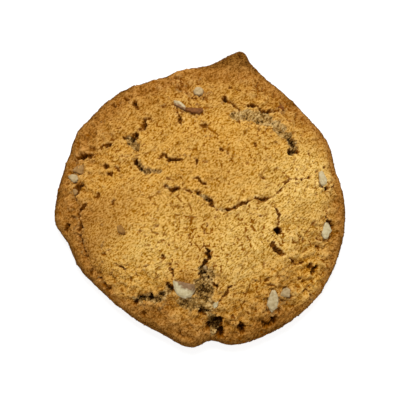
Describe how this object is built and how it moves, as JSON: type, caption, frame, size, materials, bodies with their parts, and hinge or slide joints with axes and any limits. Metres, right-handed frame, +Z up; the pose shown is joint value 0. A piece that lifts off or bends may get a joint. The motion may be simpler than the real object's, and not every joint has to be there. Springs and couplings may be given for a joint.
{
  "type": "pecan cookie",
  "caption": "Round free-form baked cookie: a low cracked dome with a flat underside, golden crust, one pulled corner at the rim and chopped pecans half sunk in the top.",
  "frame": {"origin": "middle of the footprint's box, on the surface that the flat underside lies on", "axes": "+Z up through the dome, +X to the right and +Y to the back of the picture's view, so the pulled corner is at the back"},
  "size_m": [0.0872, 0.0908, 0.0145],
  "materials": {
    "baked_dough": "dry golden-brown baked crust, matt, finely cracked and sandy",
    "pecan": "pale chopped nut flesh with a thin dark brown skin, matt with a faint oily sheen"
  },
  "bodies": {
    "root": {"cookie": "baked_dough"}
  },
  "joints": []
}
